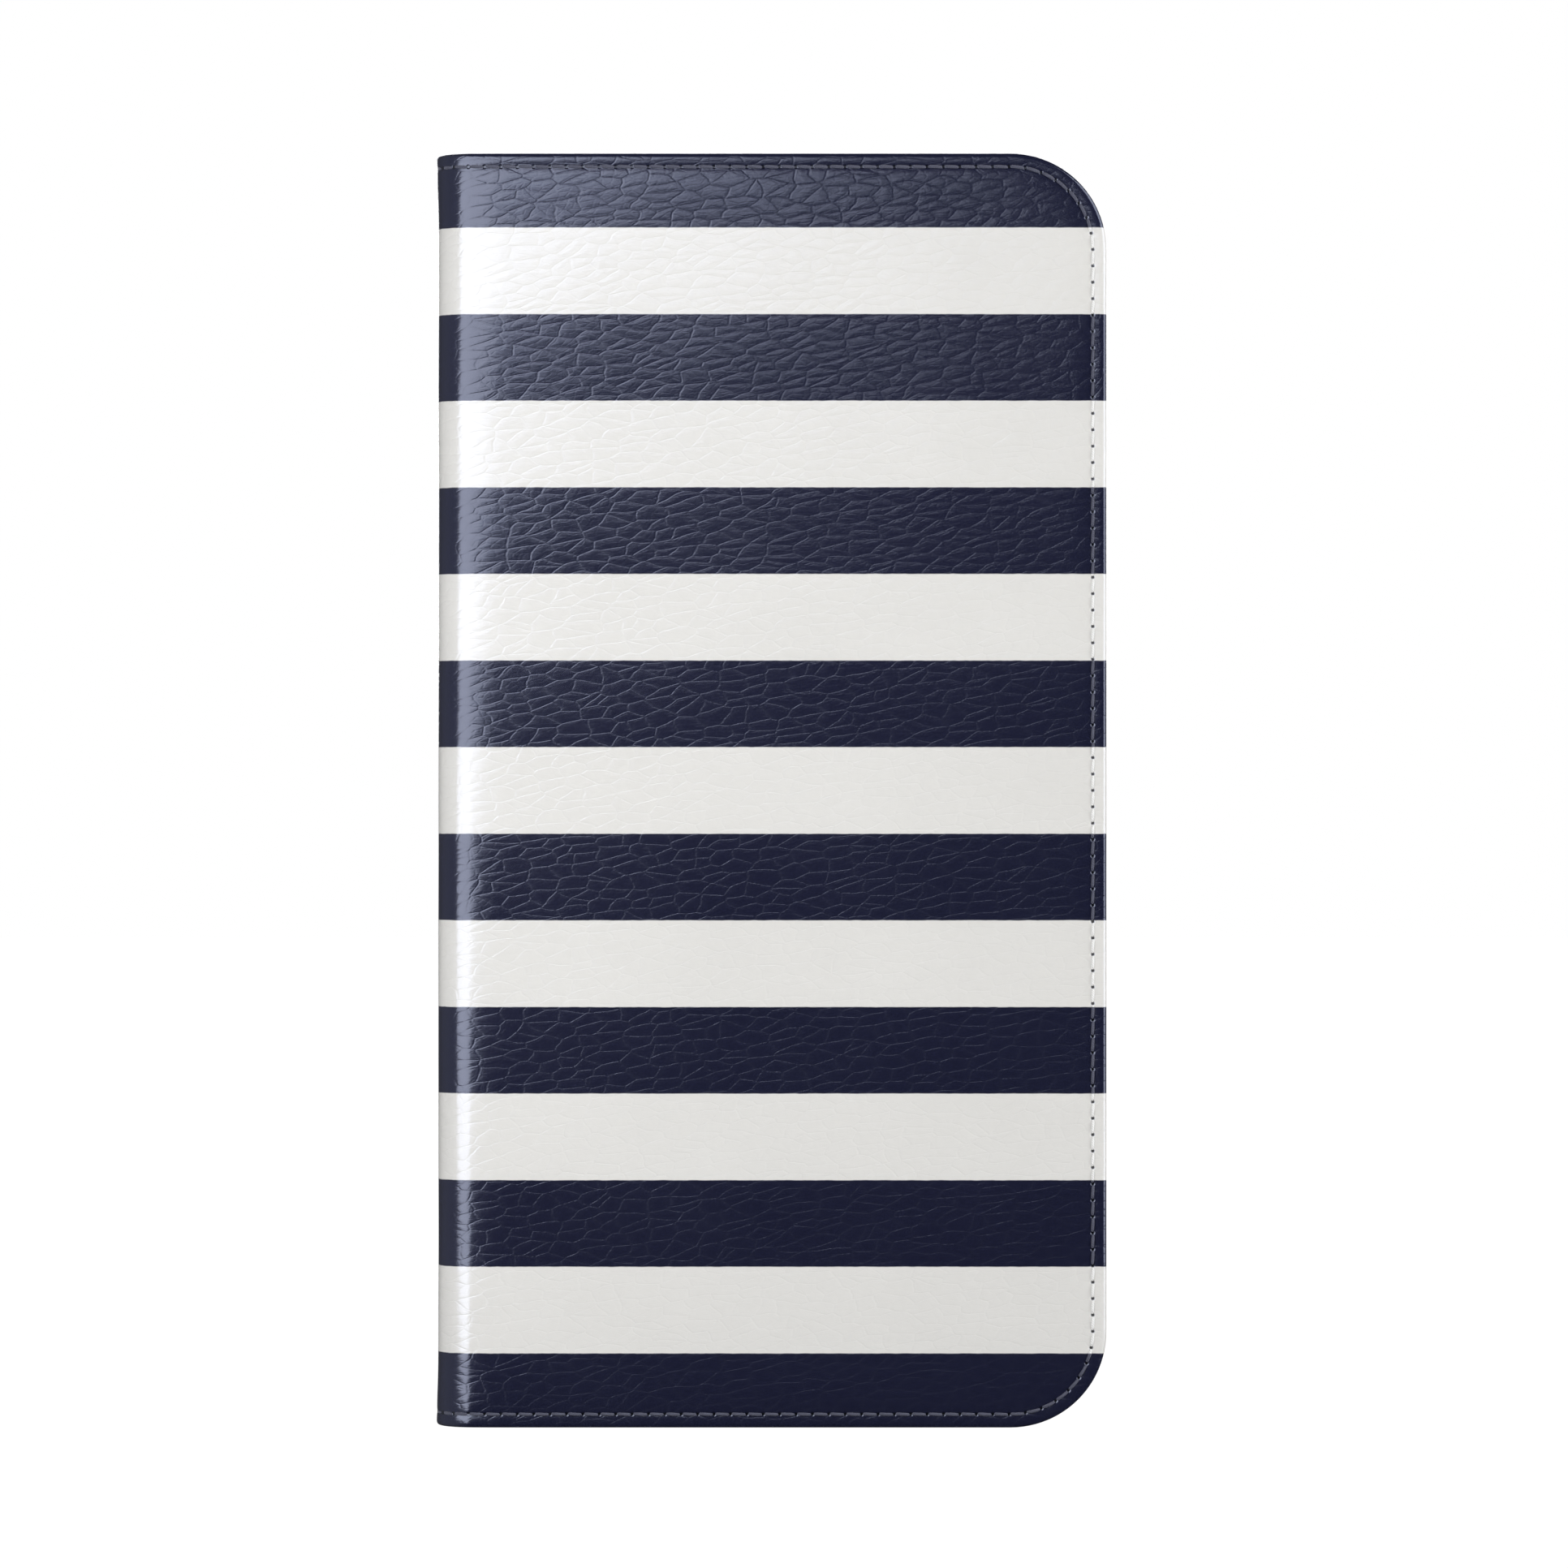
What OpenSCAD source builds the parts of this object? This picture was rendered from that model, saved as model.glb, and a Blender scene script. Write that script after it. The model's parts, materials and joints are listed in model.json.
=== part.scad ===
// Phone wallet case: a folio of striped leather with a card-pocket cover,
// a spine between two folds, and a back cover that carries the phone in a soft tray.
// It stands upright and closed on its bottom edge. X runs across the width with the
// spine at -X, Y runs through the thickness with the front cover at -Y, Z is up.

/* [Case] */
// Width of the closed case, spine to free edge
case_w = 87.2; // [84:0.1:92]
// Height of the case
case_h = 166; // [164:0.5:178]
// Thickness of the closed case
case_t = 17.6; // [17.6:0.1:22]
// Radius of the two corners at the free edge
corner_r = 12.5; // [9:0.5:16]
// Outer radius of the two folds beside the spine
fold_r = 5.3; // [4.4:0.1:6]

/* [Layers] */
// Thickness of the outer leather
skin_t = 0.8; // [0.6:0.1:1]
// Thickness of the foam padding
padding_t = 0.4; // [0.3:0.1:0.8]
// Thickness of the stiffening board
board_t = 1.1; // [1:0.1:1.4]
// Thickness of the lining
lining_t = 0.5; // [0.45:0.05:0.6]
// Thickness of the turned-in edge of the leather, skived thin
turn_in_t = 0.6; // [0.4:0.1:0.7]
// How far the leather's edge is turned in over the board
turn_in_w = 6; // [4:0.5:7]
// Distance of the lining's edge from the cover's edge
lining_inset = 1.0; // [0.9:0.1:1.4]

/* [Stitching] */
// Distance of the stitch row from the edge
stitch_inset = 1.8; // [1.6:0.1:2.4]
// Radius of the outer thread
thread_r = 0.3; // [0.2:0.05:0.35]
// Radius of the thinner thread on the inner side
bobbin_r = 0.18; // [0.1:0.01:0.2]

/* [Pockets] */
// Thickness of one pocket panel
pocket_t = 0.45; // [0.4:0.05:0.6]
// Number of card slots over the cash pocket
card_slots = 3; // [3:1:3]
// Distance of the cash pocket's open edge from the spine
pocket_edge = 10.6; // [9:0.2:14]
// Step from one pocket's open edge to the next
pocket_step = 9; // [7:0.5:11]
// Length of a card slot between its two stitch rows
card_len = 90; // [88:0.5:96]
// Distance of the pocket panels from the cover's edge
pocket_inset = 3; // [2.6:0.1:4]
// Radius of the thumb notch in each pocket's open edge
notch_r = 7; // [5:0.5:8]

/* [Phone] */
// Width of the phone
phone_w = 77.4; // [70:0.1:78]
// Height of the phone
phone_h = 157.5; // [140:0.1:158]
// Thickness of the phone
phone_t = 7.7; // [7:0.1:8]
// Radius of the phone's corners
phone_r = 10.2; // [6:0.1:14]

/* [Tray] */
// Wall thickness of the soft tray
tray_wall = 1.3; // [1.1:0.1:1.4]
// Floor thickness of the tray
tray_floor = 1.1; // [0.9:0.1:1.2]
// How far the lip reaches in over the phone's edge
lip_reach = 0.8; // [0.5:0.1:1.2]
// Thickness of the lip
lip_t = 0.5; // [0.4:0.1:0.7]
// Thickness of the adhesive pad under the tray
glue_t = 0.3; // [0.2:0.05:0.4]
// Width of the camera window
camera_w = 15; // [12:0.5:30]
// Height of the camera window
camera_h = 34; // [24:0.5:44]

/* [Magnets] */
// Diameter of the hidden magnets
magnet_d = 8; // [6:0.5:9]
// Distance of the magnets from the free edge
magnet_inset = 12; // [11.5:0.5:16]
// Distance between the two magnets of a cover
magnet_gap = 56; // [30:1:90]

/* [Hidden] */

$fn = 96;

// Depths below the outer surface at which each layer starts
padding_d = skin_t;
board_d = padding_d + padding_t;
lining_d = board_d + board_t;
cover_t = lining_d + lining_t;
turn_in_d = lining_d - turn_in_t;

// The fold's centre, at the front; the back's is its mirror image
fold_x = -case_w / 2 + fold_r;
fold_y = -case_t / 2 + fold_r;
mitre_gap = 0.15;      // each side of the fold's 45 degree plane
far = 4 * case_h;      // beyond every surface

// Thread lies just below the leather's surface
thread_d = thread_r + 0.02;
bobbin_d = cover_t - bobbin_r - 0.01;
groove = 0.06;         // play beside and under the thread in its channel
row_clear = 0.5;       // degrees left between the row's stretches beside a fold
fold_clear = 5;        // degrees that the row keeps from a fold's middle

// Phone tray
phone_gap = 0.3;
cavity_w = phone_w + 2 * phone_gap;
cavity_h = phone_h + 2 * phone_gap;
cavity_d = phone_t + 0.1;
cavity_r = phone_r + phone_gap;
tray_x = 0.8;          // the tray sits nearer to the free edge
tray_back = case_t / 2 - cover_t - glue_t;
tray_deep = tray_floor + cavity_d + lip_t;
tray_front = tray_back - tray_deep;
side_band = 1.6;       // what is left of a side wall under a key gap
key_floor = tray_back - tray_floor - side_band;

camera_x = 27;
camera_z = case_h - 26;
camera_ease = 0.5;     // each layer's window is this much wider than the next one out
power_z = [115, 128];
volume_z = [110, 140];
port_w = 50;

pocket_y = -case_t / 2 + cover_t;
edge_x = -case_w / 2 + pocket_edge;
seam_inset = pocket_inset + 1.2;
seam_d = bobbin_r + 0.01;

// ---- Outlines ----

// The whole closed case seen from above, at a depth below its outer surface.
// It runs on past the free edge, where the cover's outline cuts it.
module case_section(depth) {
    half = case_t / 2 - depth;
    translate([fold_x, -half]) square([case_w, 2 * half]);
    translate([-case_w / 2 + depth, fold_y]) square([case_w, -2 * fold_y]);
    for (side = [-1, 1]) translate([fold_x, side * fold_y]) circle(fold_r - depth);
}

// A cover seen from the front, set in from its edge. It runs on past the spine.
module cover_outline(inset) {
    r = corner_r - inset;
    right = case_w / 2 - inset;
    translate([-case_w, inset]) square([case_w + right - r, case_h - 2 * inset]);
    translate([0, corner_r]) square([right, case_h - 2 * corner_r]);
    for (z = [corner_r, case_h - corner_r]) translate([right - r, z]) circle(r);
}

// A rectangle with round corners, centred
module rounded_rect(w, h, r) {
    square([w, h - 2 * r], center = true);
    square([w - 2 * r, h], center = true);
    for (x = [-1, 1], z = [-1, 1]) translate([x * (w / 2 - r), z * (h / 2 - r)]) circle(r);
}

// Stands an outline up and gives it thickness from y0 to y1
module upright(y0, y1) {
    translate([0, y1, 0]) rotate([90, 0, 0]) linear_extrude(y1 - y0) children();
}

// ---- The three bodies that the folds divide ----

module front_side() {
    n = mitre_gap / sqrt(2);
    reach = 3 * fold_r;
    translate([0, 0, -1]) linear_extrude(case_h + 2)
        polygon([[fold_x + n - reach, fold_y - n - reach], [fold_x + n - fold_y, -n],
                 [case_w, -n], [case_w, fold_y - n - reach]]);
}

module spine_side() {
    n = mitre_gap * sqrt(2);
    reach = 3 * fold_r;
    tip = fold_x - fold_y - n;
    translate([0, 0, -1]) linear_extrude(case_h + 2)
        polygon([[tip - reach, -reach], [tip, 0], [tip - reach, reach]]);
}

module back_side() {
    mirror([0, 1, 0]) front_side();
}

// A layer of the wrap between two depths, set in from the cover's edge
module wrap_layer(from, to, inset) {
    intersection() {
        linear_extrude(case_h) difference() {
            case_section(from);
            case_section(to);
        }
        upright(-case_t, case_t) cover_outline(inset);
    }
}

// A band of the wrap that runs round its edge, between two insets
module edge_band(from, to, inner, outer) {
    intersection() {
        linear_extrude(case_h) difference() {
            case_section(from);
            case_section(to);
        }
        upright(-case_t, case_t) difference() {
            cover_outline(outer);
            cover_outline(inner);
        }
    }
}

// The leather: face, rim round the edge, and the edge turned in over the board
module leather_wrap() {
    wrap_layer(0, skin_t, 0);
    edge_band(skin_t / 2, cover_t, skin_t, 0);
    edge_band(turn_in_d, lining_d, turn_in_w, skin_t / 2);
}

// The stiff board between the folds only, thinned where the leather is turned in
module board_sheet() {
    difference() {
        wrap_layer(board_d, lining_d, skin_t);
        edge_band(turn_in_d, lining_d + 1, turn_in_w, 0);
    }
}

// ---- Stitching ----

module bar_x(x0, x1, r) {
    translate([x0, 0, 0]) rotate([0, 90, 0]) cylinder(r = r, h = x1 - x0, $fn = 24);
}

// One row round a cover, top edge to bottom edge, as a bead in the plane y = 0
module edge_row(x0, inset, r) {
    bend = corner_r - inset;
    x1 = case_w / 2 - corner_r;
    for (z = [inset, case_h - inset]) translate([0, 0, z]) bar_x(x0, x1, r);
    translate([x1, 0, corner_r]) rotate([90, 0, 0])
        rotate_extrude(angle = -90) translate([bend, 0]) circle(r, $fn = 24);
    translate([x1, 0, case_h - corner_r]) rotate([90, 0, 0])
        rotate_extrude(angle = 90) translate([bend, 0]) circle(r, $fn = 24);
    translate([x1 + bend, 0, corner_r]) cylinder(r = r, h = case_h - 2 * corner_r, $fn = 24);
}

// The row where it goes round one side of a fold, at the top and bottom edges
module fold_row(start, depth, r) {
    sweep = 45 - fold_clear - row_clear;
    for (z = [stitch_inset, case_h - stitch_inset]) translate([fold_x, fold_y, z])
        rotate([0, 0, start]) rotate_extrude(angle = sweep)
            translate([fold_r - depth, 0]) circle(r, $fn = 24);
}

module front_row(depth, r) {
    fold_row(225 + fold_clear, depth, r);
    translate([0, -case_t / 2 + depth, 0]) edge_row(fold_x, stitch_inset, r);
}

module spine_row(depth, r) {
    for (side = [0, 1]) mirror([0, side, 0]) fold_row(180 + row_clear, depth, r);
    for (z = [stitch_inset, case_h - stitch_inset]) translate([-case_w / 2 + depth, 0, z])
        rotate([90, 0, 0]) cylinder(r = r, h = -2 * fold_y, center = true, $fn = 24);
}

// The channel that a row lies in, between two depths
module row_channel(from, to, r) {
    edge_band(from, to, stitch_inset + r + groove, stitch_inset - r - groove);
}

module thread_channel() {
    row_channel(-1, thread_d + thread_r + groove, thread_r);
}

module bobbin_channel() {
    row_channel(bobbin_d - bobbin_r - groove, cover_t + 1, bobbin_r);
}

// ---- Windows and magnets ----

// A pill-shaped window for the camera, wider by ease on each side
module camera_outline(ease) {
    translate([camera_x, camera_z]) {
        square([camera_w + 2 * ease, camera_h - camera_w], center = true);
        for (side = [-1, 1]) translate([0, side * (camera_h - camera_w) / 2])
            circle(camera_w / 2 + ease);
    }
}

module camera_cut(ease) {
    upright(0, case_t) camera_outline(ease);
}

module magnet_pair(r, h) {
    y = -case_t / 2 + board_d + board_t / 2;
    for (side = [-1, 1])
        translate([case_w / 2 - magnet_inset, y, case_h / 2 + side * magnet_gap / 2])
            rotate([90, 0, 0]) cylinder(r = r, h = h, center = true);
}

// ---- Front cover ----

module front_skin() {
    color([0.11, 0.12, 0.20]) difference() {
        intersection() {
            leather_wrap();
            front_side();
        }
        thread_channel();
    }
}

module front_padding() {
    color([0.75, 0.75, 0.72]) intersection() {
        wrap_layer(padding_d, board_d, skin_t);
        front_side();
    }
}

// Everything of the front cover beyond the fold
module front_flat() {
    translate([fold_x, -case_t, -1]) cube([2 * case_w, case_t, case_h + 2]);
}

module front_board() {
    color([0.55, 0.47, 0.36]) difference() {
        intersection() {
            board_sheet();
            front_flat();
        }
        magnet_pair(magnet_d / 2 + 0.1, board_t + 1);
    }
}

module front_magnets() {
    color([0.7, 0.7, 0.72]) magnet_pair(magnet_d / 2, board_t - 0.1);
}

module front_lining() {
    color([0.13, 0.14, 0.19]) difference() {
        intersection() {
            wrap_layer(lining_d, cover_t, lining_inset);
            front_side();
        }
        bobbin_channel();
    }
}

// Pocket panels are stacked on the lining, each starting one step further from the spine
function panel_x(level) = edge_x + level * pocket_step;
function panel_y(level) = pocket_y + level * pocket_t;

module pocket_panel(level) {
    color([0.15, 0.16, 0.22]) difference() {
        upright(panel_y(level), panel_y(level + 1)) difference() {
            cover_outline(pocket_inset);
            translate([panel_x(level) - far, -far / 2]) square([far, far]);
            translate([panel_x(level), case_h / 2]) circle(notch_r);
        }
        pocket_rows(seam_d, bobbin_r + groove);
    }
}

// The seams that hold the panels: one round the edge and one at each end of a card slot
module pocket_rows(depth, r) {
    ends = [seam_inset, (case_h - card_len) / 2, (case_h + card_len) / 2, case_h - seam_inset];
    start = 1;
    for (level = [0:card_slots - 1], z = ends)
        translate([0, panel_y(level + 1) - depth, z])
            bar_x(panel_x(level) + start, panel_x(level + 1) - 0.2, r);
    translate([0, panel_y(card_slots + 1) - depth, 0]) {
        edge_row(panel_x(card_slots) + start, seam_inset, r);
        for (z = [ends[1], ends[2]]) translate([0, 0, z])
            bar_x(panel_x(card_slots) + start, case_w / 2 - seam_inset - 1, r);
    }
}

module cash_pocket() {
    pocket_panel(0);
}

module card_slot_low() {
    pocket_panel(1);
}

module card_slot_middle() {
    pocket_panel(2);
}

module card_slot_top() {
    pocket_panel(3);
}

module front_thread() {
    color([0.35, 0.37, 0.45]) {
        front_row(thread_d, thread_r);
        front_row(bobbin_d, bobbin_r);
    }
}

module pocket_thread() {
    color([0.3, 0.32, 0.4]) pocket_rows(seam_d, bobbin_r);
}

// ---- Spine ----

module spine_skin() {
    color([0.11, 0.12, 0.20]) difference() {
        intersection() {
            leather_wrap();
            spine_side();
        }
        thread_channel();
    }
}

module spine_padding() {
    color([0.75, 0.75, 0.72]) intersection() {
        wrap_layer(padding_d, board_d, skin_t);
        spine_side();
    }
}

module spine_board() {
    color([0.55, 0.47, 0.36]) intersection() {
        board_sheet();
        translate([-case_w, fold_y, 0]) cube([case_w + fold_x, -2 * fold_y, case_h]);
    }
}

module spine_lining() {
    color([0.13, 0.14, 0.19]) difference() {
        intersection() {
            wrap_layer(lining_d, cover_t, lining_inset);
            spine_side();
        }
        bobbin_channel();
    }
}

module spine_thread() {
    color([0.35, 0.37, 0.45]) {
        spine_row(thread_d, thread_r);
        spine_row(bobbin_d, bobbin_r);
    }
}

// ---- Back cover ----

module back_skin() {
    color([0.11, 0.12, 0.20]) difference() {
        intersection() {
            leather_wrap();
            back_side();
        }
        thread_channel();
        camera_cut(0);
    }
}

module back_padding() {
    color([0.75, 0.75, 0.72]) difference() {
        intersection() {
            wrap_layer(padding_d, board_d, skin_t);
            back_side();
        }
        camera_cut(camera_ease);
    }
}

module back_board() {
    color([0.55, 0.47, 0.36]) difference() {
        intersection() {
            board_sheet();
            mirror([0, 1, 0]) front_flat();
        }
        mirror([0, 1, 0]) magnet_pair(magnet_d / 2 + 0.1, board_t + 1);
        camera_cut(camera_ease);
    }
}

module back_magnets() {
    color([0.7, 0.7, 0.72]) mirror([0, 1, 0]) magnet_pair(magnet_d / 2, board_t - 0.1);
}

module back_lining() {
    color([0.13, 0.14, 0.19]) difference() {
        intersection() {
            wrap_layer(lining_d, cover_t, lining_inset);
            back_side();
        }
        bobbin_channel();
        camera_cut(0);
    }
}

module back_thread() {
    color([0.35, 0.37, 0.45]) mirror([0, 1, 0]) {
        front_row(thread_d, thread_r);
        front_row(bobbin_d, bobbin_r);
    }
}

module adhesive_pad() {
    margin = 6;
    color([0.85, 0.85, 0.8]) difference() {
        translate([tray_x, 0, case_h / 2]) upright(tray_back, tray_back + glue_t)
            rounded_rect(cavity_w - 2 * margin, cavity_h - 2 * margin, cavity_r - margin);
        camera_cut(2 * camera_ease);
    }
}

// Lays an outline of the tray out between two depths of the case
module tray_layer(y0, y1) {
    translate([tray_x, 0, case_h / 2]) upright(y0, y1) children();
}

module tray_outline() {
    rounded_rect(cavity_w + 2 * tray_wall, cavity_h + 2 * tray_wall, cavity_r + tray_wall);
}

// Floor of the soft tray that the phone is pressed into
module tray_plate() {
    color([0.08, 0.08, 0.09]) difference() {
        tray_layer(tray_back - tray_floor, tray_back) tray_outline();
        camera_cut(0);
    }
}

// Wall of the tray, with a lip over the phone's edge and gaps for the keys and the port
module tray_rim() {
    color([0.08, 0.08, 0.09]) difference() {
        tray_layer(tray_front, tray_back - tray_floor) tray_outline();
        tray_layer(tray_front + lip_t, tray_back)
            rounded_rect(cavity_w, cavity_h, cavity_r);
        tray_layer(tray_front - 1, tray_back)
            rounded_rect(cavity_w - 2 * lip_reach, cavity_h - 2 * lip_reach, cavity_r - lip_reach);
        wall_gap(tray_x, case_w, power_z);
        wall_gap(-case_w, tray_x, volume_z);
        translate([tray_x - port_w / 2, tray_front - 1, 0])
            cube([port_w, key_floor - tray_front + 1, case_h / 2]);
    }
}

// Clears one side wall over a stretch of its height, down to the band at its foot
module wall_gap(x0, x1, z) {
    translate([x0, tray_front - 1, z[0]])
        cube([x1 - x0, key_floor - tray_front + 1, z[1] - z[0]]);
}

front_skin();
front_padding();
front_board();
front_magnets();
front_lining();
cash_pocket();
card_slot_low();
card_slot_middle();
card_slot_top();
front_thread();
pocket_thread();
spine_skin();
spine_padding();
spine_board();
spine_lining();
spine_thread();
back_skin();
back_padding();
back_board();
back_magnets();
back_lining();
back_thread();
adhesive_pad();
tray_plate();
tray_rim();
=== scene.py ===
"""Phone wallet case: leather, linings, stitches, pockets and tray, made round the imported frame."""

import contextlib
import functools
import json
import math

import bpy
import numpy as np
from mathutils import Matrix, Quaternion, Vector, noise


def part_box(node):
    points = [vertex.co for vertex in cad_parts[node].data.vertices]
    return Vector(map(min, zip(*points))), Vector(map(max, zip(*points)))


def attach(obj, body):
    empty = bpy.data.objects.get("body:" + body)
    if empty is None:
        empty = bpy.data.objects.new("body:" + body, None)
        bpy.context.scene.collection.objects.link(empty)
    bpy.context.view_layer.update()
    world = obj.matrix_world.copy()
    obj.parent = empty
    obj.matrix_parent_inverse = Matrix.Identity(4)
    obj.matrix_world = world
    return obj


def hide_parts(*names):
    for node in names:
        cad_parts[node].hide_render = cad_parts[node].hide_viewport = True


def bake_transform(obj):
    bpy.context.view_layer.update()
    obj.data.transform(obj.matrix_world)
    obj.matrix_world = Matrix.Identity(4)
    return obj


bl_info = {
    "name": "Phone Wallet Case",
    "version": (1, 0, 0),
    "blender": (4, 5, 0),
    "location": "View3D > Sidebar > Wallet Case",
    "description": "Builds a striped leather phone wallet case round its packed frame",
    "category": "Add Mesh",
}

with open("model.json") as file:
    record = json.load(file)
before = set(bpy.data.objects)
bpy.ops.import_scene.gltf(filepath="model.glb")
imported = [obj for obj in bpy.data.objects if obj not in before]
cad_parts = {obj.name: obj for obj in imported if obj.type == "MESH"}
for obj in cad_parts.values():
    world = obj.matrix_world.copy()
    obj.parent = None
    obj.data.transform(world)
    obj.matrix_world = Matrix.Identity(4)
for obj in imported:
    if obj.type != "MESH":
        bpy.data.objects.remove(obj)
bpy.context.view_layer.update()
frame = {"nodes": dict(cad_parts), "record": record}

MM = 0.001

# The frame's own measures
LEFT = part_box("spine_skin")[0].x
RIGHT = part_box("front_skin")[1].x
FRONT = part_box("front_skin")[0].y
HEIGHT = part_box("front_skin")[1].z
MIDDLE = HEIGHT / 2
POCKET_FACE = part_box("cash_pocket")[0].y
COVER = POCKET_FACE - FRONT
BOARD_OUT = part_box("front_board")[0].y - FRONT
BOARD_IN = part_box("front_board")[1].y - FRONT
FOLD_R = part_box("front_board")[0].x - LEFT
OPENINGS = {o["name"]: o["box_m"] for o in frame["record"]["physics"]["openings"]}

# How far from its joint a sheet starts and ends its bend, and the thread of the inner seams
FOLD_REACH = 2.6 * MM
INNER_THREAD = 0.36 * MM


# ---- Settings ----


def length_setting(name, description, value):
    return bpy.props.FloatProperty(name=name, description=description, default=value, unit="LENGTH")


def colour_setting(name, description, value):
    return bpy.props.FloatVectorProperty(
        name=name, description=description, default=(*value, 1), size=4, subtype="COLOR", min=0, max=1)


class WalletSizes(bpy.types.PropertyGroup):
    """Sizes of the case's finish"""

    corner_r: length_setting("Corner radius", "Radius of the corners at the free edge", 12.5 * MM)
    fold_r: length_setting("Fold radius", "Radius of the leather round a fold", FOLD_R - 0.45 * MM)
    fold_ease: length_setting("Fold ease", "Length of the fold's run-out into the flat cover", 5.5 * MM)
    ease_angle: bpy.props.FloatProperty(
        name="Ease angle", description="Turn that is left to the fold's run-out",
        default=math.radians(5), unit="ROTATION")
    band: length_setting("Band", "Height of one printed band", 11.274 * MM)
    stitch_inset: length_setting("Stitch inset", "Distance of the stitch row from the edge", 1.8 * MM)
    stitch_pitch: length_setting("Stitch pitch", "Distance from one needle hole to the next", 2.13 * MM)
    thread_w: length_setting("Thread width", "Width of the outer thread", 0.40 * MM)
    rim_reach: length_setting("Rim roll", "How far the edge's roll reaches in over the face", 1.0 * MM)
    leather_t: length_setting("Leather", "Thickness of the outer leather", 0.7 * MM)
    camera_w: length_setting("Camera window width", "Width of the camera window", 15 * MM)
    camera_h: length_setting("Camera window height", "Height of the camera window", 34 * MM)


class WalletColours(bpy.types.PropertyGroup):
    """Colours of the case's materials"""

    navy: colour_setting("Navy", "Colour of the dark bands", (0.0095, 0.0108, 0.031))
    white: colour_setting("White", "Colour of the light bands", (0.80, 0.79, 0.762))
    navy_thread: colour_setting("Navy thread", "Thread over the dark bands", (0.075, 0.08, 0.125))
    white_thread: colour_setting("White thread", "Thread over the light bands", (0.93, 0.93, 0.92))
    lining: colour_setting("Lining", "Colour of the lining", (0.011, 0.013, 0.026))
    pocket: colour_setting("Pockets", "Colour of the pocket panels", (0.014, 0.016, 0.032))
    tray: colour_setting("Tray", "Colour of the phone tray", (0.012, 0.012, 0.014))
    board: colour_setting("Board", "Colour of the stiffening board", (0.26, 0.19, 0.115))
    foam: colour_setting("Foam", "Colour of the padding", (0.55, 0.55, 0.5))
    steel: colour_setting("Magnets", "Colour of the magnets' plating", (0.62, 0.61, 0.58))
    glue: colour_setting("Adhesive", "Colour of the adhesive pad", (0.72, 0.72, 0.66))
    floor: colour_setting("Floor", "Colour of the floor", (0.7, 0.7, 0.7))


def sizes():
    return bpy.context.scene.wallet_sizes


def colours():
    return bpy.context.scene.wallet_colours


# ---- The leather's path round the spine ----


class WrapPath:
    """The outer surface seen from above: from the middle of the spine, round the fold, to the free edge."""

    def __init__(self):
        s = sizes()
        step = 0.02 * MM
        turn = math.pi / 2 - s.ease_angle
        round_len = s.fold_r * turn
        angles = [0.0]
        while len(angles) * step < round_len + s.fold_ease:
            at = len(angles) * step
            if at < round_len:
                angles.append(turn * at / round_len)
            else:
                t = (at - round_len) / s.fold_ease
                angles.append(turn + s.ease_angle * (2 * t - t * t))
        angle = np.array(angles)
        x = LEFT + np.concatenate([[0], np.cumsum(np.sin(angle[:-1])) * step])
        y = -np.concatenate([[0], np.cumsum(np.cos(angle[:-1])) * step])
        y += FRONT - y[-1]
        start = -y[0]
        u = start + np.arange(len(angle)) * step
        far = 30 * MM
        self.u = np.concatenate([[0], u, [u[-1] + RIGHT - x[-1] + far]])
        self.x = np.concatenate([[LEFT], x, [RIGHT + far]])
        self.y = np.concatenate([[0], y, [FRONT]])
        self.angle = np.concatenate([[0], angle, [math.pi / 2]])
        self.fold_start = start
        self.fold_end = u[-1]
        self.length = u[-1] + RIGHT - x[-1]

    def place(self, u, z, depth, side):
        """Points so far along the path and so deep below its surface. side is 1 in front, -1 behind."""
        x = np.interp(u, self.u, self.x)
        y = np.interp(u, self.u, self.y)
        a = np.interp(u, self.u, self.angle)
        return np.column_stack([x + depth * np.cos(a), side * (y + depth * np.sin(a)), z])


@functools.cache
def path():
    return WrapPath()


class Edge:
    """The section of a sheet's edge, from its inner end to the face, as inset and depth against length."""

    def __init__(self, points):
        self.inset = np.array([p[0] for p in points])
        self.depth = np.array([p[1] for p in points])
        steps = np.hypot(np.diff(self.inset), np.diff(self.depth))
        self.length = np.concatenate([[0], np.cumsum(steps)])
        self.past = self.length[-1] - self.inset[-1]
        self.face = self.depth[-1]

    def at(self, q):
        """Inset and depth at a distance q from the sheet's outer end."""
        inside = q > self.length[-1]
        inset = np.where(inside, q - self.past, np.interp(q, self.length, self.inset))
        return inset, np.where(inside, self.face, np.interp(q, self.length, self.depth))


def stitch_valley(inset):
    """How far the leather is drawn down by the stitch row: a narrow groove in a broad dip."""
    off_row = inset - sizes().stitch_inset
    depth, groove, dip = 0.05 * MM, 0.32 * MM, 1.5 * MM
    return depth * math.exp(-((off_row / groove) ** 2)) + depth * math.exp(-((off_row / dip) ** 2))


def leather_edge():
    """Turned in under the lining, rolled round the rim, and down into the stitch row's valley."""
    s = sizes()
    half = (BOARD_IN + 0.15 * MM) / 2
    turn_in, turn_start, turn_depth = 5 * MM, 0.5 * MM, BOARD_IN - 0.02 * MM
    points = [(s.rim_reach + turn_in, turn_depth), (s.rim_reach + turn_start, turn_depth)]
    rings = 20
    square = 0.5  # 1 gives an ellipse, and less gives a fuller, squarer roll
    for i in range(rings + 1):
        a = -math.pi / 2 + math.pi * i / rings
        inset = s.rim_reach * (1 - abs(math.cos(a)) ** square)
        drop = stitch_valley(inset) if a > 0 else 0
        points.append((inset, half * (1 - math.copysign(abs(math.sin(a)) ** square, a)) + drop))
    face_lines, face_run, crowding = 16, 5 * MM, 1.5
    for i in range(1, face_lines + 1):
        inset = s.rim_reach + face_run * (i / face_lines) ** crowding
        points.append((inset, stitch_valley(inset)))
    return Edge(points)


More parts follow.
